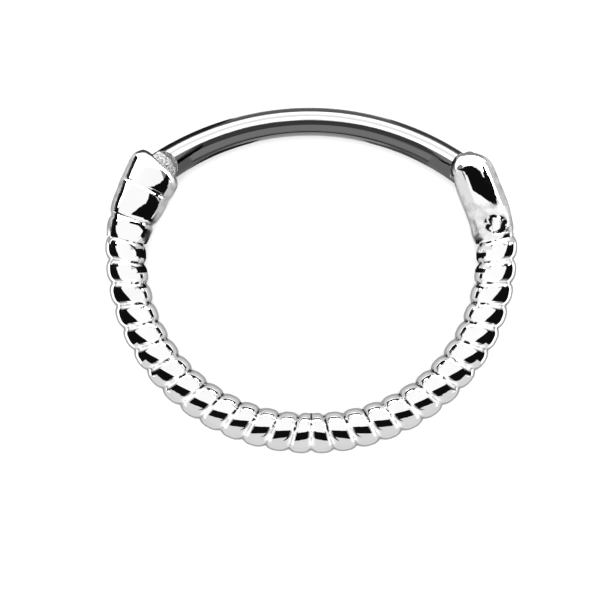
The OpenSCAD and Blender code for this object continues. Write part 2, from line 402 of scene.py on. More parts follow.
class Layout:
    """Places that the pieces share, worked out from their sizes as in the solids."""

    def __init__(self):
        casting, bar = settings("casting_sizes"), settings("bar_sizes")
        self.casting, self.bar = casting, bar
        self.rib_r = MID_Z
        self.lean_shift = math.atan(self.rib_r * math.tan(casting.rib_slant) / casting.arc_r)
        self.arc_end = self.groove_angle(casting.ribs_per_side)
        self.rib_len = casting.rib_pitch * casting.arc_r
        pin = self.on_arc(self.arc_end + (casting.hinge_len - PIN_FROM_TIP) / casting.arc_r, -PIN_INSET)
        self.shift = Vector((0, PIN_AT.y - pin.y))
        self.pin = Vector((-pin.x, pin.y)) + self.shift
        self.bar_arc_r = ((self.pin.x + bar.crown_offset) ** 2 + bar.crown ** 2) / (2 * bar.crown)
        self.bar_centre = Vector((-bar.crown_offset, self.pin.y + bar.crown - self.bar_arc_r))
        lip_row = self.fork_section(LATCH_ROWS[MOUTH_ROW], casting.latch_len, casting.latch_w)
        mouth = lip_row.centre - lip_row.half_w * lip_row.out
        self.lip = mouth + bar.lip_r * lip_row.out
        self.pin_angle = math.asin((self.pin.x - self.bar_centre.x) / self.bar_arc_r)
        tip_x = mouth.x + bar.latch_reach - bar.end_d / 2
        self.tip_angle = math.asin((tip_x - self.bar_centre.x) / self.bar_arc_r)
        self.tip = self.on_bar(self.tip_angle)

    def groove_angle(self, k):
        return k * self.casting.rib_pitch - self.lean_shift if k else 0

    def on_arc(self, angle, drift):
        swell = self.casting.corner_swell * math.sin(2 * angle) ** 2
        return (self.casting.arc_r + swell + drift) * outward(angle)

    def on_bar(self, angle):
        return self.bar_centre + self.bar_arc_r * upward(angle)

    def from_groove(self, share):
        """Distance to the nearer groove at a share of a rib's length."""
        return (0.5 - abs(share - 0.5)) * self.rib_len

    def crest_drop(self, share):
        """How far a rib's surface lies under its crest, with a small rounding at the groove's bottom."""
        depth, fillet = self.casting.groove_depth, self.casting.groove_fillet
        x = self.from_groove(share)
        away = 1 - 2 * max(x, fillet) / self.rib_len
        drop = depth * away ** CREST_POWER
        if x < fillet:
            slope = 2 * depth / self.rib_len * CREST_POWER * away ** (CREST_POWER - 1)
            drop += slope * (fillet ** 2 - x ** 2) / (2 * fillet)
        return drop

    def rib_section(self, k, share):
        """A section of a rib, counted from the middle, at a share of its length."""
        start, end = self.groove_angle(k), self.groove_angle(k + 1)
        a = start + share * (end - start)
        lean = self.casting.rib_slant * min(1, a / self.groove_angle(1))
        drop = self.crest_drop(share)
        half_t = self.rib_r - drop
        drift = 0
        if k == 0 and share < 0.5:
            # At the middle the inner side isn't cut.
            drift = -drop / 2 * (1 - share / 0.5)
            drop = drop * (0.5 + share)
        half_w = (self.rib_r - drop) / math.cos(lean)
        # How near the groove's bottom, within the painted shade's half width
        valley = max(0, 1 - self.from_groove(share) / GROOVE_SHADE_HALF_W)
        frost = max(1 - ramp(share, *FROST_LOW), ramp(share, *FROST_HIGH))
        centre = self.on_arc(a, drift) + self.shift
        return Section(centre, outward(a + lean), half_w, half_t, 1, valley, frost, -1)

    def fork_section(self, row, length, width):
        """A section of a fork from a row of its table."""
        along, drift, wide, thick, lean = row
        a = self.arc_end + along * length / self.casting.arc_r
        roundness = 1 - (1 - self.casting.fork_roundness) * min(1, along / self.casting.fork_blend)
        centre = self.on_arc(a, drift * self.rib_r) + self.shift
        out = outward(a + math.radians(lean))
        return Section(centre, out, wide * width / 2, thick * self.rib_r, roundness, 0, 0, along)


def hermite(t, here, there, leave, arrive):
    """A smooth curve from here to there as t goes from 0 to 1, with the slopes that it has at its ends."""
    return ((2 * t ** 3 - 3 * t ** 2 + 1) * here + (t ** 3 - 2 * t ** 2 + t) * leave
            + (3 * t ** 2 - 2 * t ** 3) * there + (t ** 3 - t ** 2) * arrive)


def between(rows, along):
    """A row between two rows, on a smooth curve through them. Widths and thicknesses run as their
    squares do, which makes a fork's end round."""
    def column(row, i):
        return row[i] ** 2 if i in (WIDE, THICK) else row[i]

    k = max(i for i in range(len(rows) - 1) if rows[i][0] <= along)
    here, there = rows[k], rows[k + 1]
    before, after = rows[max(k - 1, 0)], rows[min(k + 2, len(rows) - 1)]
    step = there[0] - here[0]
    made = [along]
    for i in range(1, len(here)):
        leave = (column(there, i) - column(before, i)) / (there[0] - before[0]) * step
        arrive = (column(after, i) - column(here, i)) / (after[0] - here[0]) * step
        value = hermite((along - here[0]) / step, column(here, i), column(there, i), leave, arrive)
        made.append(math.sqrt(max(value, 0)) if i in (WIDE, THICK) else value)
    made[THICK] = min(made[THICK], 1)
    return made


def fork_alongs():
    """Shares of a fork's length, closer together towards its tip."""
    return [1 - (1 - share) ** TIP_CROWDING for share in spread(0, 1, SECTIONS_PER_FORK)]


def rib_shares():
    """Shares of a rib's length, closer together at its grooves, and without its end."""
    return [(1 - math.cos(math.pi * i / SECTIONS_PER_RIB)) / 2 for i in range(SECTIONS_PER_RIB)]


def arc_side(at, rows, length, width):
    """The sections of half the arc, from its middle to the tip of its fork."""
    ribs = [at.rib_section(k, share) for k in range(at.casting.ribs_per_side) for share in rib_shares()]
    fork = [at.fork_section(between(rows, along), length, width) for along in fork_alongs()]
    return ribs + fork


def casting_sections(at):
    """All sections of the casting, from the hinge fork's tip round to the latch fork's."""
    hinge_side = arc_side(at, HINGE_ROWS, at.casting.hinge_len, at.casting.hinge_w)
    latch_side = arc_side(at, LATCH_ROWS, at.casting.latch_len, at.casting.latch_w)
    return [mirrored(section) for section in reversed(hinge_side[1:])] + latch_side


def mirrored(section):
    centre, out = section.centre, section.out
    return section._replace(centre=Vector((-centre.x, centre.y)), out=Vector((-out.x, out.y)))


def rounded(value, roundness):
    return math.copysign(abs(value) ** roundness, value)


def section_point(section, turn):
    """A point of a section. A turn of 0 is its outer side, and a quarter turn its front."""
    side = section.half_w * rounded(math.cos(turn), section.roundness)
    rise = section.half_t * rounded(math.sin(turn), section.roundness)
    p = section.centre + side * section.out
    return Vector((p.x, p.y, MID_Z + rise))


def ramp(value, low, high):
    """0 up to low, 1 from high on, and smooth between them."""
    share = min(1, max(0, (value - low) / (high - low)))
    return share * share * (3 - 2 * share)


def is_hinge(section):
    return section.centre.x < 0


def crease_depth(section, turn):
    """Depth of the creases across a fork at a section. Each runs aslant, and fades out on the flanks."""
    depth = 0
    for along, slant, deep, half_w in HINGE_CREASES if is_hinge(section) else LATCH_CREASES:
        away = abs(section.along - along - slant * math.cos(turn)) / half_w
        if away < 1:
            depth += deep * (1 - away) ** 2 * (1 + 2 * away)
    front = ramp(abs(math.sin(turn)), *CREASE_FADE)
    return depth * (CREASE_ON_FLANK + (1 - CREASE_ON_FLANK) * front)


def boss_away(at, p):
    """How far a point lies from the boss's middle, and at which angle. The back is endlessly far from it."""
    offset = Vector((p.x, p.y)) - at.on_arc(BOSS_ANGLE, BOSS_DRIFT) - at.shift
    return (offset.length, math.atan2(offset.y, offset.x)) if p.z > MID_Z else (math.inf, 0)


def painted_shade_share(at, section, turn):
    """Strength of the painted shade: in the grooves, round the boss and inside the latch fork's lip."""
    if section.along < 0 or is_hinge(section):
        inner = ramp(-math.cos(turn), *INNER_SIDE)
        return GROOVE_SHADE * section.groove * (OUTER_SHADE + (1 - OUTER_SHADE) * inner)
    away, angle = boss_away(at, section_point(section, turn))
    line_half_w = RING_HALF_W * (1 + RING_SWELL * math.cos(2 * (angle - RING_TILT)))
    ring = math.exp(-((away - BOSS_R) / line_half_w) ** 2)
    lip = ramp(section.along, *LIP_FROM) * (1 - ramp(section.along, *LIP_TO))
    inside = ramp(-math.cos(turn), *LIP_SIDE)
    return RING_SHADE * ring + lip * inside * LIP_SHADE


def satin_share(at, section, turn):
    """1 where the plating is satin, and not bright: on the forks' flanks and at the latch fork's foot."""
    if section.along < 0:
        return 0
    satin = ramp(abs(math.cos(turn)), *SATIN_FLANK)
    if not is_hinge(section):
        foot = 1 - ramp(section.along + SATIN_SLANT * math.cos(turn), *SATIN_FOOT)
        away = boss_away(at, section_point(section, turn))[0]
        satin = max(satin, foot) * ramp(away, *SATIN_ROUND_BOSS)
    return satin * ramp(section.along, *SATIN_START)


def frost_share(section, turn):
    """1 on the sides of the grooves, which the polish doesn't reach, and 0 round the flanks."""
    return section.frost * (1 - ramp(abs(math.cos(turn)), *FROST_FLANK))


def casting_point(at, section, turn):
    """A point of the casting: its section's, sunk by creases and the moat, and raised by the boss."""
    p = section_point(section, turn)
    if section.along < 0:
        return p
    depth = crease_depth(section, turn)
    if not is_hinge(section):
        away = boss_away(at, p)[0]
        moat = BOSS_MOAT * math.exp(-((away - BOSS_R) / MOAT_HALF_W) ** 2)
        depth += moat - BOSS_RISE * math.exp(-(away / DOME_HALF_W) ** 2)
    inward = Vector((section.centre.x, section.centre.y, MID_Z)) - p
    return p + depth * inward.normalized() if inward.length > abs(depth) else p


def arc_points(centre, radius, start, span, steps):
    """Points on an arc, from an angle from +X and over a span."""
    turns = [start + turned for turned in spread(0, span, steps)]
    return [centre + radius * Vector((math.cos(a), math.sin(a))) for a in turns]


def slot_outline(centre, radius, opening, reach):
    """A round with a fan of straight sides that opens it between two angles."""
    first, last = opening
    round_part = arc_points(centre, radius, last, math.tau - (last - first), CUTTER_SIDES)
    return round_part + arc_points(centre, reach, first, last - first, FAN_STEPS)


def latch_outline(at):
    """The latch slot: over the bar's underside, up to a wall past the tip."""
    end_r = at.bar.end_d / 2
    floor_r = at.bar_arc_r - end_r - FLOOR_GAP
    wall_x = at.tip.x + end_r + FLOOR_GAP
    last = math.asin((wall_x - at.bar_centre.x) / floor_r)
    arc = [at.bar_centre + floor_r * upward(a) for a in spread(0, last, LATCH_SLOT_STEPS)]
    top = at.bar_centre.y + 2 * at.bar_arc_r
    return arc + [Vector((wall_x, top)), Vector((at.bar_centre.x, top))]


def cast_ring(at):
    """The whole casting, with marks on its mesh for its painted shade, satin and frost."""
    marks = {"residue": lambda *place: painted_shade_share(at, *place),
             "satin": lambda *place: satin_share(at, *place),
             "frost": frost_share}
    shape = tube(casting_sections(at), SECTION_SIDES, lambda *place: casting_point(at, *place), marks)
    return finish_mesh(shape, "ribbed_casting", (mirror_plating(), milled_steel()))


def slot_forks(casting, at):
    """Slots both forks for the bar's tongues, and drills the hinge fork for the pin."""
    slot_half = at.bar.tongue_t / 2 + SLOT_GAP
    low, high = MID_Z - slot_half, MID_Z + slot_half
    floor_r = at.bar.eye_d / 2 + FLOOR_GAP
    hinge_slot = slot_outline(at.pin, floor_r, HINGE_OPENING, at.casting.hinge_len)
    cut(casting, prism(hinge_slot, low, high, "hinge_slot"))
    cut(casting, prism(latch_outline(at), low, high, "latch_slot"))
    bore_r = PIN_R + PIN_SEAT_GAP
    bore_top = PIN_HIGH.z + PIN_SEAT_GAP
    cut(casting, drum(at.pin, bore_r, bore_r, -MID_Z, bore_top, "pin_bore", OWN_FINISH))
    smooth(casting.data)


class RING_OT_ribbed_arc(bpy.types.Operator):
    """Build the ribbed casting with its two forks"""

    bl_idname = "ring.ribbed_arc"
    bl_label = "Ribbed casting"

    def execute(self, context):
        at = Layout()
        casting = cast_ring(at)
        slot_forks(casting, at)
        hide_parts("ribbed_arc")
        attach(casting, "ring")
        return {"FINISHED"}


def bend_bar(at):
    """The round bar along its arc, which grows from its middle towards both ends."""
    middle_r = at.bar.bar_d / 2
    sections = []
    for a in spread(at.pin_angle, at.tip_angle, BAR_SECTIONS):
        end_angle, end_d = (at.pin_angle, at.bar.eye_d) if a < 0 else (at.tip_angle, at.bar.end_d)
        r = middle_r + (end_d / 2 - middle_r) * (a / end_angle) ** 2
        sections.append(Section(at.on_bar(a), upward(a), r, r, 1, 0, 0, -1))
    bm = tube(sections, BAR_SIDES, section_point)
    bmesh.ops.holes_fill(bm, edges=bm.edges, sides=0)
    return finish_mesh(bm, "curved_bar", (bar_steel(), milled_steel()))


def mill_tongues(bar, at):
    """Mills both ends of the bar down to flat tongues with round ends, and drills it for the pin."""
    eye_r, end_r, half_t = at.bar.eye_d / 2, at.bar.end_d / 2, at.bar.tongue_t / 2
    low, high = MID_Z - half_t, MID_Z + half_t
    front, back = (high, high + eye_r), (low - eye_r, low)
    shoulder_r = PIN_FROM_TIP + SHOULDER_GAP
    flared_r = shoulder_r + eye_r * math.tan(SHOULDER_FLARE)
    cut(bar, drum(at.pin, shoulder_r, flared_r, *front, "shoulder_front"))
    cut(bar, drum(at.pin, flared_r, shoulder_r, *back, "shoulder_back"))
    lip_r = at.bar.lip_r + MOUTH_GAP
    reach = 2 * at.casting.arc_r
    below = [at.lip + Vector(p) for p in ((-lip_r, -reach), (reach, -reach), (reach, 0), (-lip_r, 0))]
    for side in (front, back):
        cut(bar, drum(at.lip, lip_r, lip_r, *side, "lip_round"))
        cut(bar, prism(below, *side, "lip_below"))
    for name, centre, r in (("eye", at.pin, eye_r - EYE_TRIM), ("tip", at.tip, end_r - EYE_TRIM)):
        cut(bar, drum(centre, r, r, low, high, name), "UNION")
    hole_r = PIN_R + PIN_RUN_GAP
    cut(bar, drum(at.pin, hole_r, hole_r, 0, 2 * MID_Z, "pin_hole"))
    smooth(bar.data)


class RING_OT_clicker_bar(bpy.types.Operator):
    """Build the curved bar with its milled tongues"""

    bl_idname = "ring.clicker_bar"
    bl_label = "Clicker bar"

    def execute(self, context):
        at = Layout()
        bar = bend_bar(at)
        mill_tongues(bar, at)
        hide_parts("clicker_bar")
        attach(bar, "bar")
        return {"FINISHED"}


class RING_OT_hinge_pin(bpy.types.Operator):
    """Give the hinge pin its finish"""

    bl_idname = "ring.hinge_pin"
    bl_label = "Hinge pin"

    def execute(self, context):
        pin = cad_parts["hinge_pin"]
        pin.data.materials.clear()
        pin.data.materials.append(pin_steel())
        return {"FINISHED"}


def new_group(name, inputs, outputs):
    """A shader node group with float inputs and their defaults, and float outputs, with the nodes at its
    two ends. A group that is there already comes without them."""
    group = bpy.data.node_groups.get(name)
    if group:
        return group, None, None
    group = bpy.data.node_groups.new(name, "ShaderNodeTree")
    for socket, default in inputs:
        made = group.interface.new_socket(socket, in_out="INPUT", socket_type="NodeSocketFloat")
        made.default_value = default
    for socket in outputs:
        group.interface.new_socket(socket, in_out="OUTPUT", socket_type="NodeSocketFloat")
    return group, group.nodes.new("NodeGroupInput"), group.nodes.new("NodeGroupOutput")


def node(tree, kind, values=None, **options):
    """A node with options set, and its inputs set by name or number, or linked where a value is a socket."""
    made = tree.nodes.new(kind)
    for option, value in options.items():
        setattr(made, option, value)
    for socket, value in (values or {}).items():
        if isinstance(value, bpy.types.NodeSocket):
            tree.links.new(value, made.inputs[socket])
        else:
            made.inputs[socket].default_value = value
    return made


def calculate(tree, operation, *values):
    return node(tree, "ShaderNodeMath", dict(enumerate(values)), operation=operation).outputs[0]


def soft_spots_group():
    """Spots of one size that fade into each other, for casting waviness, stains and grain."""
    inputs = (("Spot Size", 1 * MM), ("Low", 0.35), ("High", 0.65))
    group, given, out = new_group("soft_spots", inputs, ("Mask",))
    if given:
        place = node(group, "ShaderNodeTexCoord").outputs["Object"]
        scale = calculate(group, "DIVIDE", 1.0, given.outputs["Spot Size"])
        spots = node(group, "ShaderNodeTexNoise", {"Vector": place, "Scale": scale, "Detail": 2.0})
        limits = {"From Min": given.outputs["Low"], "From Max": given.outputs["High"]}
        mask = node(group, "ShaderNodeMapRange", {"Value": spots.outputs["Fac"], **limits})
        group.links.new(mask.outputs["Result"], out.inputs["Mask"])
    return group


def long_lines_group():
    """Fine lines along a piece's own UV map, as polishing or grinding leaves them."""
    inputs = (("Lines Around", 90.0), ("Line Length", 5.0))
    group, given, out = new_group("long_lines", inputs, ("Mask",))
    if given:
        uv = node(group, "ShaderNodeUVMap", uv_map="UVMap").outputs["UV"]
        counts = {"X": given.outputs["Line Length"], "Y": given.outputs["Lines Around"], "Z": 1.0}
        scale = node(group, "ShaderNodeCombineXYZ", counts).outputs[0]
        stretched = node(group, "ShaderNodeVectorMath", {0: uv, 1: scale}, operation="MULTIPLY").outputs[0]
        lines = node(group, "ShaderNodeTexNoise", {"Vector": stretched, "Scale": 1.0, "Detail": 3.0})
        group.links.new(lines.outputs["Fac"], out.inputs["Mask"])
    return group


def place_group(tree, group, values):
    return node(tree, "ShaderNodeGroup", values, node_tree=group).outputs["Mask"]


def soft_spots(tree, spots):
    """A mask of spots from a row of their size and the noise values between which they fade in."""
    return place_group(tree, soft_spots_group(), dict(zip(("Spot Size", "Low", "High"), spots)))


def mesh_mark(tree, name):
    """A mark on the casting's mesh."""
    return node(tree, "ShaderNodeAttribute", attribute_name=name, attribute_type="GEOMETRY").outputs["Fac"]


def new_material(name):
    material = bpy.data.materials.new(name)
    material.use_nodes = True
    return material, material.node_tree, material.node_tree.nodes["Principled BSDF"]


def shade(colour, amount):
    return [amount * v for v in colour]


def blend_colours(tree, mask, clean, marked):
    """From the clean colour to the marked one as the mask grows. Either may be a socket."""
    mix = tree.nodes.new("ShaderNodeMix")
    mix.data_type = "RGBA"
    sockets = {s.identifier: s for s in mix.inputs}
    tree.links.new(mask, sockets["Factor_Float"])
    for socket, colour in (("A_Color", clean), ("B_Color", marked)):
        if isinstance(colour, bpy.types.NodeSocket):
            tree.links.new(colour, sockets[socket])
        else:
            sockets[socket].default_value = (*colour, 1)
    return next(s for s in mix.outputs if s.identifier == "Result_Color")


def blend_values(tree, mask, low, high):
    return node(tree, "ShaderNodeMapRange", {"Value": mask, "To Min": low, "To Max": high}).outputs["Result"]


def raise_surface(tree, shader, height, depth):
    bump = node(tree, "ShaderNodeBump", {"Strength": 1.0, "Distance": depth, "Height": height})
    tree.links.new(bump.outputs["Normal"], shader.inputs["Normal"])


# Spots in the finishes: their size, and the noise values between which they fade in
STAINS = (1.1 * MM, 0.3, 0.8)
SATIN_CLOUDS = (0.3 * MM, 0.38, 0.62)
SATIN_GRAIN = (0.05 * MM, 0.3, 0.7)
SHADE_FLECKS = (0.16 * MM, 0.42, 0.56)
CASTING_WAVES = (0.55 * MM, 0.0, 1.0)
MILLED_GRAIN = (0.07 * MM, 0.38, 0.62)
PIN_GRAIN = (0.06 * MM, 0.25, 0.75)

# The plating: shares of its brightness where it is stained and where its satin is light and dark, the
# painted shade's colour, its roughness where it is bright, satin and frosted or under painted shade, how
# metallic its frosted sides look, its waves' depth, and how high its satin grain is beside them
STAIN_SHADE = 0.94
SATIN_SHADES = (0.94, 0.66)
PAINTED_SHADE_COLOUR = (0.012, 0.012, 0.012)
BRIGHT_ROUGHNESS = 0.035
SATIN_ROUGHNESS = 0.32
FROST_ROUGHNESS = 0.4
FROST_METALLIC = 0.15
WAVE_DEPTH = 0.012 * MM
GRAIN_HEIGHT = 0.25


def mirror_plating():
    """Bright plating over a casting: slightly wavy, with satin places, frosted sides of the grooves, and
    near-black painted shade in the grooves, round the boss and in the latch fork's lip."""
    plating = settings("finish_colours").plating
    material, tree, shader = new_material("mirror_plating")
    satin, frost = mesh_mark(tree, "satin"), mesh_mark(tree, "frost")
    # Painted shade: the mesh's mark broken into flecks, near black, fully metallic and rougher there
    residue = calculate(tree, "MULTIPLY", mesh_mark(tree, "residue"), soft_spots(tree, SHADE_FLECKS))

    bright = blend_colours(tree, soft_spots(tree, STAINS), plating, shade(plating, STAIN_SHADE))
    cloudy = blend_colours(tree, soft_spots(tree, SATIN_CLOUDS), *(shade(plating, s) for s in SATIN_SHADES))
    colour = blend_colours(tree, satin, bright, cloudy)
    colour = blend_colours(tree, residue, colour, PAINTED_SHADE_COLOUR)
    tree.links.new(colour, shader.inputs["Base Color"])

    bare = blend_values(tree, frost, 1.0, FROST_METALLIC)
    tree.links.new(calculate(tree, "MAXIMUM", residue, bare), shader.inputs["Metallic"])

    dull = blend_values(tree, satin, BRIGHT_ROUGHNESS, SATIN_ROUGHNESS)
    duller = calculate(tree, "MULTIPLY", calculate(tree, "MAXIMUM", residue, frost), FROST_ROUGHNESS)
    tree.links.new(calculate(tree, "MAXIMUM", dull, duller), shader.inputs["Roughness"])

    grain = calculate(tree, "MULTIPLY", soft_spots(tree, SATIN_GRAIN), satin)
    height = calculate(tree, "MULTIPLY_ADD", grain, GRAIN_HEIGHT, soft_spots(tree, CASTING_WAVES))
    raise_surface(tree, shader, height, WAVE_DEPTH)
    return material


def steel(name, colour, make_mask, shades, roughness, depth):
    """Steel whose colour, roughness and height follow one mask. The pairs are for where it is 0 and 1."""
    material, tree, shader = new_material(name)
    shader.inputs["Metallic"].default_value = 1
    mask = make_mask(tree)
    blend = blend_colours(tree, mask, *(shade(colour, amount) for amount in shades))
    tree.links.new(blend, shader.inputs["Base Color"])
    tree.links.new(blend_values(tree, mask, *roughness), shader.inputs["Roughness"])
    raise_surface(tree, shader, mask, depth)
    return material


def bar_steel():
    """Bright steel, darker than the plating, with fine lines along it."""
    def fine_lines(tree):
        return place_group(tree, long_lines_group(), {"Lines Around": 110.0, "Line Length": 4.0})

    return steel("dark_bright_steel", settings("finish_colours").bar, fine_lines,
                 shades=(0.85, 1.15), roughness=(0.05, 0.13), depth=0.0012 * MM)


def milled_steel():
    """Matte, grainy steel, as a fine cutter leaves it."""
    return steel("milled_flat_steel", settings("finish_colours").milled,
                 lambda tree: soft_spots(tree, MILLED_GRAIN),
                 shades=(0.3, 1.15), roughness=(0.38, 0.6), depth=0.006 * MM)


def pin_steel():
    """The pin's ground end, a little duller than the bar."""
    return steel("ground_pin_steel", settings("finish_colours").pin,
                 lambda tree: soft_spots(tree, PIN_GRAIN),
                 shades=(0.8, 1), roughness=(0.2, 0.36), depth=0.002 * MM)


# The photo's frame: its width in the ring's plane and in pixels, and the point of the ring at its middle
FRAME_W = 21.6 * MM
FRAME_PX = 600
FRAME_MIDDLE = Vector((-0.405, -0.703)) * MM
CAMERA_DISTANCE = 120 * MM
CLIP_START = 1 * MM
SENSOR_MM = 36

# The floor and the lights
FLOOR_HALF_W = 400 * MM
FLOOR_ROUGHNESS = 0.8
WORLD_LIGHT = 1.1
FLOOR_SUN = 2
SUN_SPREAD = math.radians(60)

# Radiance of the cards that only shiny surfaces see
DARK_CARD = 0.005
BAR_DARK = 0.26
LOW_SIDE_GREY = 0.78
FLANK_GREY = 0.62
LATCH_FLANK_GREY = 0.85

# The cards' places are in millimetres, and their angles in degrees from the lowest rib. At the ceiling
# there are a grey one past the lowest ribs, a dark one over the bar, and bright ones past the bar.
CEILING_Z = 4
STUDIO_REACH = 60
# The grey card's edge at the middle, and how fast it rises to both sides
LOW_SIDE_FROM = -7.4
LOW_SIDE_RISE = 0.12
# The dark card's edges from the bar's centre line, and half its width
BAR_CARD = (-1.67, 0.77)
BAR_CARD_HALF_W = 4.3
# The bright strips' edges from the bar's centre line, and their radiance
SOFT_STRIPS = ((0.77, 2.6, 9), (2.6, 5.6, 5.5), (5.6, STUDIO_REACH, 9))
SOFT_HALF_W = 30
# How steeply an edge beside the bar slopes away past the bar's ends
EDGE_FALL = 0.2
STRIP_STEPS = 24

# Upright walls: side (-1 is the hinge's), radius, first and last angle, lowest and highest point, radiance
WALLS = {
    "outer_wall_left": (-1, 11, 55, 95, 0, 4, DARK_CARD),
    "outer_wall_right": (1, 11, 55, 95, 0, 4, DARK_CARD),
    "hinge_inner_wall": (-1, 4.9, 82, 95, 0, 2, DARK_CARD),
    "latch_inner_wall": (1, 4.9, 82, 89, 0, 2, DARK_CARD),
    "line_wall": (1, 3, -45, 45, 0.7, 1.5, DARK_CARD),
    "left_line_wall": (-1, 3, 45, 80, 0.7, 2.1, DARK_CARD),
    "right_line_wall": (1, 3, 45, 80, 0.7, 2.1, DARK_CARD),
    "hinge_outer_wall": (-1, 11, 95, 125, 1, 5, DARK_CARD),
    "low_side_wall": (1, 39, -55, 55, 0, 4, LOW_SIDE_GREY),
    "flank_wall": (1, 11.6, 100, 124, 0, 8, FLANK_GREY),
    "hinge_inner_flank_wall": (-1, 4.3, 96, 120, 0, 5, FLANK_GREY),
    "latch_inner_flank_wall": (1, 4.3, 96, 120, 0, 5, LATCH_FLANK_GREY),
}
WALL_STEPS = 10

# Cards on the floor: their radii, first and last angle, and radiance. Each lies a step above the last.
FLOOR_CARDS = {
    "rim": ((4.8, 8.6), (-122, 122), 0.42),
    "hinge_flank": ((8.6, 15), (-122, -94), 0.42),
    "latch_flank": ((8.6, 15), (94, 122), 0.6),
    "hinge_tip": ((3, 12), (-150, -122), 0.06),
    "latch_tip": ((3, 12), (122, 150), 0.25),
    "hollow": ((1.5, 4.8), (-92, 92), 0.68),
    "hinge_inner_flank": ((1.5, 4.8), (-122, -94), 0.55),
    "latch_inner_flank": ((1.5, 4.8), (94, 122), 0.55),
    "low_side": ((8.6, 40), (-55, 55), 0.75),
    "hinge_inner": ((4.8, 6.2), (-92, -82), DARK_CARD),
    "latch_inner": ((4.8, 6.2), (82, 89), DARK_CARD),
}
FLOOR_CARD_STEP = 0.003
ARC_STEPS = 64
# The card on the floor past the bar: nearest and furthest Y, half its width, height and radiance
BAR_FLOOR = (6.6, STUDIO_REACH, 12, 0.01, 0.6)

# Corners of the dark shapes that the forks mirror, in pixels of the 600-pixel frame
KNUCKLE_CRESCENT = ((167, 170), (168.5, 175), (169, 182), (167.5, 188), (164, 194), (158, 193), (152, 190),
                    (147, 187), (153.3, 186.5), (158.8, 184), (163, 180.5), (166, 175))
BARREL_WEDGE = ((149.5, 192.5), (155, 195.5), (157, 199), (160, 203), (157, 207), (154, 212), (151, 217),
                (148, 219.5), (138, 216.5), (130.5, 214.5), (138.5, 207.5), (145.5, 203.5), (148.5, 199.5))
COLLAR_PATCH = ((139, 225.5), (146.5, 226), (148, 231), (146.5, 238), (137, 238), (142, 236), (143.2, 233.3),
                (141.5, 229))
LATCH_WEDGE = ((458, 170.3), (458, 168.9), (461, 168.7), (463.5, 167.3), (467, 165.5), (471, 165.3),
               (476, 168), (481, 171.5), (484, 178), (483, 170), (482.3, 163.5), (487, 172), (493, 185),
               (496, 195), (497, 203), (496.5, 206.5), (484, 198), (472, 190), (469.5, 182), (467.5, 177),
               (465, 172.5), (462, 170.6))
FORK_PATCHES = {"crescent": KNUCKLE_CRESCENT, "barrel": BARREL_WEDGE, "collar": COLLAR_PATCH,
                "latch": LATCH_WEDGE}
# Dark patches that the ribs mirror: the rib's number from the middle, then the share of its length and of
# its half width (outwards is more than 0) at four corners: inner side towards the fork, inner side towards
# the middle, outer side towards the middle and outer side towards the fork. A rib that has no row of its
# own takes its corners from the rows before and after it.
RIB_PATCHES = (
    (0, (0.86, -0.02), (0.15, -0.13), (0.15, 0.22), (0.86, 0.4)),
    (1, (0.86, 0), (0.15, -0.15), (0.15, 0.17), (0.86, 0.45)),
    (3, (0.86, 0.06), (0.16, -0.17), (0.16, 0.2), (0.86, 0.43)),
    (5, (0.86, 0.08), (0.16, -0.08), (0.16, 0.25), (0.86, 0.46)),
    (7, (0.86, 0.26), (0.17, -0.04), (0.17, 0.48), (0.86, 0.62)),
    (8, (0.86, 0.44), (0.18, 0), (0.18, 0.62), (0.86, 0.65)),
    (11, (0.86, 0.45), (0.18, 0.02), (0.18, 0.65), (0.86, 0.66)),
    (12, (0.86, 0.52), (0.18, 0.32), (0.18, 0.68), (0.86, 0.68)),
    (13, (0.86, 0.6), (0.18, 0.28), (0.18, 0.7), (0.86, 0.7)),
)
# The flags that make these shapes: their height, and the most that one may lie from the metal, both in
# millimetres. A mirrored ray that hardly climbs is taken to climb at the least rate.
FORK_FLAG_Z = 2
FORK_FLAG_REACH = 1.6
RIB_FLAG_Z = 1.52
RIB_FLAG_REACH = 0.5
LEAST_CLIMB = 0.01
FLAG_STEPS = 6


def card(name, corners_mm, radiance):
    """A flat card from its corners, which only shiny surfaces see."""
    bm = bmesh.new()
    bm.faces.new([bm.verts.new([v * MM for v in corner]) for corner in corners_mm])
    material = bpy.data.materials.get(f"card_{radiance:g}")
    if not material:
        material = bpy.data.materials.new(f"card_{radiance:g}")
        material.use_nodes = True
        nodes = material.node_tree.nodes
        nodes.clear()
        glow = nodes.new("ShaderNodeEmission")
        glow.inputs["Strength"].default_value = radiance
        out = nodes.new("ShaderNodeOutputMaterial")
        material.node_tree.links.new(glow.outputs["Emission"], out.inputs["Surface"])
    obj = finish_mesh(bm, name, (material,))
    for ray in ("camera", "diffuse", "transmission", "volume_scatter", "shadow"):
        setattr(obj, f"visible_{ray}", False)


def ceiling_strip(name, low_edge, high_edge, half_w, radiance):
    """A card at the ceiling between two edges, each of which gives its Y at an X."""
    xs = spread(-half_w, half_w, STRIP_STEPS)
    corners = [(x, low_edge(x)) for x in xs] + [(x, high_edge(x)) for x in reversed(xs)]
    card(name, [(x, y, CEILING_Z) for x, y in corners], radiance)


def bar_edge(at, offset):
    """An edge that runs beside the bar, and slopes away past its ends."""
    def edge(x):
        inside = max(at.pin.x / MM, min(at.tip.x / MM, x))
        slope = (inside - at.bar_centre.x / MM) / (at.bar_arc_r / MM)
        rise = math.sqrt(1 - slope ** 2)
        return at.bar_centre.y / MM + at.bar_arc_r / MM * rise - EDGE_FALL * abs(x - inside) + offset
    return edge


def ring_point(at, radius, degrees, z):
    """A point in millimetres on a round about the arc's middle."""
    out = outward(math.radians(degrees))
    return (radius * out.x, at.shift.y / MM + radius * out.y, z)


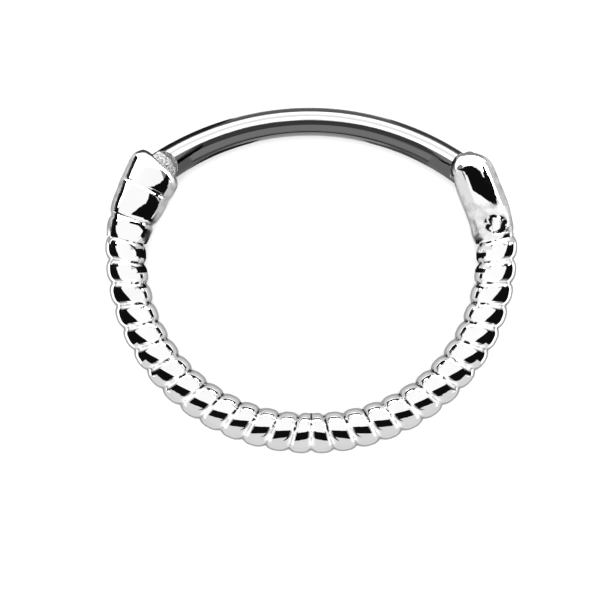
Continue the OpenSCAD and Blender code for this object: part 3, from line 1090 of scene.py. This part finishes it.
def hang_wall(at, name, side, radius, first, last, low, high, radiance):
    """An upright wall along an arc, from narrow cards."""
    turns = [side * angle for angle in spread(first, last, WALL_STEPS)]
    for i, (here, there) in enumerate(zip(turns, turns[1:])):
        corners = ((here, low), (there, low), (there, high), (here, high))
        card(f"{name}_{i}", [ring_point(at, radius, turn, z) for turn, z in corners], radiance)


def lay_floor_cards(at):
    """The cards on the floor round the arc, and the one past the bar."""
    for number, (name, (radii, angles, radiance)) in enumerate(FLOOR_CARDS.items(), start=1):
        z = number * FLOOR_CARD_STEP
        turns = spread(*angles, ARC_STEPS)
        inner = [ring_point(at, radii[0], turn, z) for turn in turns]
        outer = [ring_point(at, radii[1], turn, z) for turn in reversed(turns)]
        card(f"floor_{name}", inner + outer, radiance)
    near, far, half_w, z, radiance = BAR_FLOOR
    corners = ((-half_w, near), (half_w, near), (half_w, far), (-half_w, far))
    card("floor_past_bar", [(x, y, z) for x, y in corners], radiance)


def studio_cards(at):
    """All cards that shape what the ring mirrors, apart from the flags."""
    ceiling_strip("low_side_card", lambda x: -STUDIO_REACH, lambda x: LOW_SIDE_FROM + LOW_SIDE_RISE * abs(x),
                  SOFT_HALF_W, LOW_SIDE_GREY)
    ceiling_strip("bar_card", *(bar_edge(at, offset) for offset in BAR_CARD), BAR_CARD_HALF_W, BAR_DARK)
    for name, wall in WALLS.items():
        hang_wall(at, name, *wall)
    lay_floor_cards(at)
    for number, (near, far, radiance) in enumerate(SOFT_STRIPS, start=1):
        ceiling_strip(f"soft_strip_{number}", bar_edge(at, near), bar_edge(at, far), SOFT_HALF_W, radiance)


def hang_flag(name, eye, tree, outline, point_of, height, most_reach):
    """Hangs a dark flag so that the eye sees it mirrored in the casting within an outline. The outline's
    corners are pairs of numbers, and a function gives the point that a pair stands for."""
    corners = []
    for here, there in zip(outline, outline[1:] + outline[:1]):
        for i in range(FLAG_STEPS):
            point = point_of(*(a + i / FLAG_STEPS * (b - a) for a, b in zip(here, there)))
            look = (point - eye).normalized()
            hit, normal, *_ = tree.ray_cast(eye, look)
            if hit is None:
                raise RuntimeError(f"The outline of {name} misses the casting.")
            back = look - 2 * look.dot(normal) * normal
            reach = min(most_reach * MM, (height * MM - hit.z) / max(back.z, LEAST_CLIMB))
            corners.append(((hit.x + reach * back.x) / MM, (hit.y + reach * back.y) / MM, height))
    card(name, corners, DARK_CARD)


def rib_patch(k):
    """The corners of a rib's dark patch, between those of the ribs in the table."""
    here = max(row for row in RIB_PATCHES if row[0] <= k)
    there = min(row for row in RIB_PATCHES if row[0] >= k)
    t = (k - here[0]) / max(1, there[0] - here[0])
    return tuple(tuple(a + t * (b - a) for a, b in zip(p, q)) for p, q in zip(here[1:], there[1:]))


def frame_point(px, py):
    """The point in the ring's middle plane that the photo shows at a pixel."""
    pixel = FRAME_W / FRAME_PX
    x = FRAME_MIDDLE.x + (px - FRAME_PX / 2) * pixel
    y = FRAME_MIDDLE.y - (py - FRAME_PX / 2) * pixel
    return Vector((x, y, MID_Z))


def rib_place(at, k, side):
    """A function that gives a point on the front of a rib, from shares of its length and half width."""
    def point(share, across):
        section = at.rib_section(k, share)
        return section_point(mirrored(section) if side == "left" else section, math.acos(across))
    return point


def hang_flags(at, eye):
    """Hangs the flags that darken parts of the forks and of each rib, aimed at the casting's plain form."""
    plain = tube(casting_sections(at), SECTION_SIDES, section_point)
    tree = BVHTree.FromBMesh(plain)
    plain.free()
    for name, outline in FORK_PATCHES.items():
        hang_flag(f"{name}_flag", eye, tree, outline, frame_point, FORK_FLAG_Z, FORK_FLAG_REACH)
    for k in range(at.casting.ribs_per_side):
        for side in ("left", "right"):
            hang_flag(f"rib_flag_{side}_{k}", eye, tree, rib_patch(k), rib_place(at, k, side),
                      RIB_FLAG_Z, RIB_FLAG_REACH)


def lay_floor():
    """A pale, matte floor."""
    material, _, shader = new_material("pale_floor")
    shader.inputs["Base Color"].default_value = (*settings("finish_colours").floor, 1)
    shader.inputs["Roughness"].default_value = FLOOR_ROUGHNESS
    bm = bmesh.new()
    bmesh.ops.create_grid(bm, x_segments=1, y_segments=1, size=FLOOR_HALF_W)
    finish_mesh(bm, "pale_floor", (material,))


def light_room():
    """A wide sun overhead, which shiny surfaces don't mirror, and an even white world."""
    scene = bpy.context.scene
    sun_data = bpy.data.lights.new("overhead_light", "SUN")
    sun_data.energy = FLOOR_SUN
    sun_data.angle = SUN_SPREAD
    sun = bpy.data.objects.new("overhead_light", sun_data)
    sun.visible_glossy = False
    scene.collection.objects.link(sun)
    scene.world = bpy.data.worlds.new("studio")
    scene.world.use_nodes = True
    background = scene.world.node_tree.nodes["Background"]
    background.inputs["Color"].default_value = (1, 1, 1, 1)
    background.inputs["Strength"].default_value = WORLD_LIGHT


def place_camera():
    """A camera straight over the ring, with the photo's frame."""
    camera_data = bpy.data.cameras.new("camera")
    camera_data.sensor_width = SENSOR_MM
    camera_data.lens = SENSOR_MM * CAMERA_DISTANCE / FRAME_W
    camera_data.clip_start = CLIP_START
    camera = bpy.data.objects.new("camera", camera_data)
    bpy.context.scene.collection.objects.link(camera)
    camera.location = (*FRAME_MIDDLE, MID_Z + CAMERA_DISTANCE)
    bpy.context.scene.camera = camera
    return camera


class RING_OT_studio(bpy.types.Operator):
    """Set up the floor, the lights and the camera"""

    bl_idname = "ring.studio"
    bl_label = "Studio"

    def execute(self, context):
        at = Layout()
        lay_floor()
        studio_cards(at)
        light_room()
        camera = place_camera()
        hang_flags(at, Vector(camera.location))
        context.scene.view_settings.view_transform = "Standard"
        return {"FINISHED"}


class RING_PT_pieces(bpy.types.Panel):
    """Lists the ring's pieces and the studio"""

    bl_idname = "RING_PT_pieces"
    bl_label = "Septum ring"
    bl_space_type = "VIEW_3D"
    bl_region_type = "UI"
    bl_category = "Ring"

    def draw(self, context):
        for operator in OPERATORS:
            self.layout.operator(operator.bl_idname)


OPERATORS = (RING_OT_ribbed_arc, RING_OT_clicker_bar, RING_OT_hinge_pin, RING_OT_studio)


def register():
    for name, group in SETTINGS:
        bpy.utils.register_class(group)
        setattr(bpy.types.Scene, name, bpy.props.PointerProperty(type=group))
    for cls in (*OPERATORS, RING_PT_pieces):
        bpy.utils.register_class(cls)


def unregister():
    for cls in (RING_PT_pieces, *reversed(OPERATORS)):
        bpy.utils.unregister_class(cls)
    for name, group in reversed(SETTINGS):
        delattr(bpy.types.Scene, name)
        bpy.utils.unregister_class(group)


def main():
    register()
    bpy.ops.ring.ribbed_arc()
    bpy.ops.ring.clicker_bar()
    bpy.ops.ring.hinge_pin()
    bpy.ops.ring.studio()


if __name__ == "__main__":
    main()
